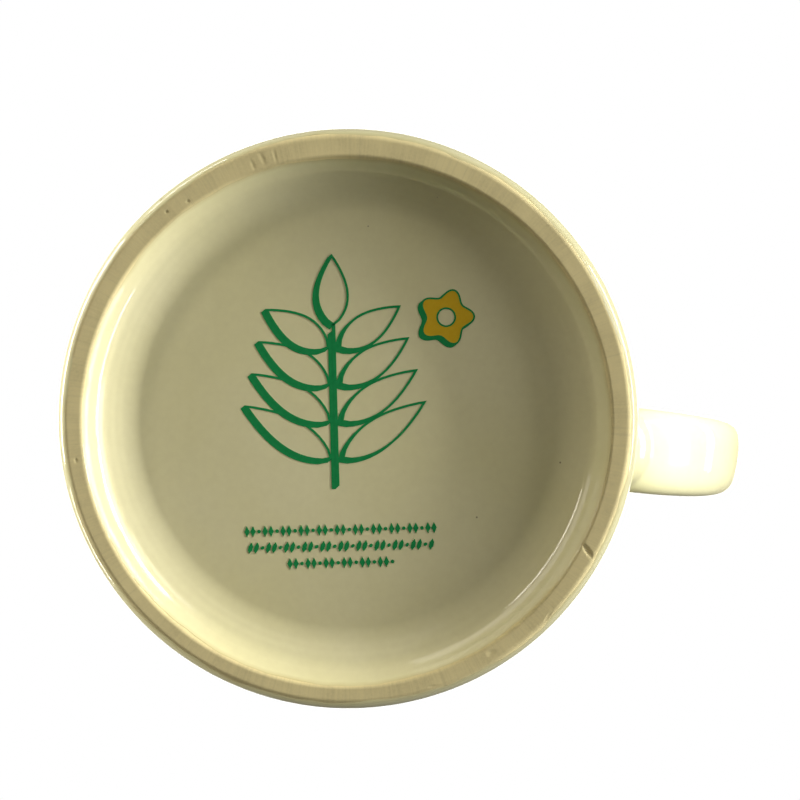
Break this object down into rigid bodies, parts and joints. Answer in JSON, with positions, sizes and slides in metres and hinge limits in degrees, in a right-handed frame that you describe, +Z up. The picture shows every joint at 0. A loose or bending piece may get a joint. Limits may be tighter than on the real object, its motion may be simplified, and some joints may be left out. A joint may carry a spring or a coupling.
{
  "type": "ceramic mug",
  "caption": "Straight-sided glazed ceramic mug with a D-shaped strap handle, a bare clay foot ring and a small printed emblem in the foot recess.",
  "frame": {"origin": "centre of the rectangle under the whole mug, on the plane that the foot ring stands on; the cup's own axis is at x = -13.4 mm", "axes": "+Z up through the open mouth, +X along the handle's reach, +Y across the cup"},
  "size_m": [0.1088, 0.082, 0.095],
  "materials": {
    "bare_clay": "matte",
    "joining_slip": "matte",
    "cream_glaze": "gloss",
    "green_ink": "gloss",
    "yellow_ink": "gloss"
  },
  "bodies": {
    "root": {"cup_body": "bare_clay", "handle_core": "bare_clay", "lower_slip_joint": "joining_slip", "upper_slip_joint": "joining_slip", "outer_glaze": "cream_glaze", "liner_glaze": "cream_glaze", "base_glaze": "cream_glaze", "handle_glaze": "cream_glaze", "print_sprig_green": "green_ink", "print_blossom_yellow": "yellow_ink", "print_row_1": "green_ink", "print_row_2": "green_ink", "print_row_3": "green_ink"}
  },
  "joints": []
}
